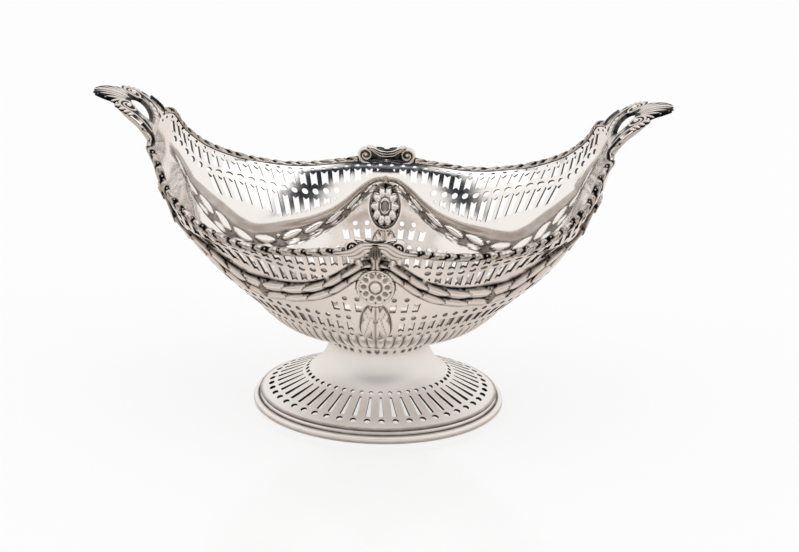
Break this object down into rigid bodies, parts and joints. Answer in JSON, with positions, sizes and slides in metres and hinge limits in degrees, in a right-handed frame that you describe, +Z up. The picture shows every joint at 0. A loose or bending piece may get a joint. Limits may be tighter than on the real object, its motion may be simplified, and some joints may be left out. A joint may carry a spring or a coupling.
{
  "type": "silver basket",
  "caption": "Boat-shaped pierced silver basket with laurel garlands, scroll handles at both ends and an oval pierced foot.",
  "frame": {"origin": "under the middle of the foot, on the surface that the basket stands on", "axes": "+Z up, X along the basket from handle to handle, Y across it towards the crests"},
  "size_m": [0.199, 0.0852, 0.1142],
  "materials": {
    "silver_sheet": "polished silver sheet, darkened in the stamped relief",
    "silver_mounts": "cast silver, polished on the high points and dark in the recesses"
  },
  "bodies": {
    "root": {"bowl": "silver_sheet", "foot": "silver_sheet", "bowl_collar": "silver_sheet", "foot_border": "silver_mounts", "rim_moulding_back_right": "silver_mounts", "rim_moulding_back_left": "silver_mounts", "rim_moulding_front_left": "silver_mounts", "rim_moulding_front_right": "silver_mounts", "rim_crest_back": "silver_mounts", "rim_crest_front": "silver_mounts", "handle_right": "silver_mounts", "handle_left": "silver_mounts"}
  },
  "joints": []
}
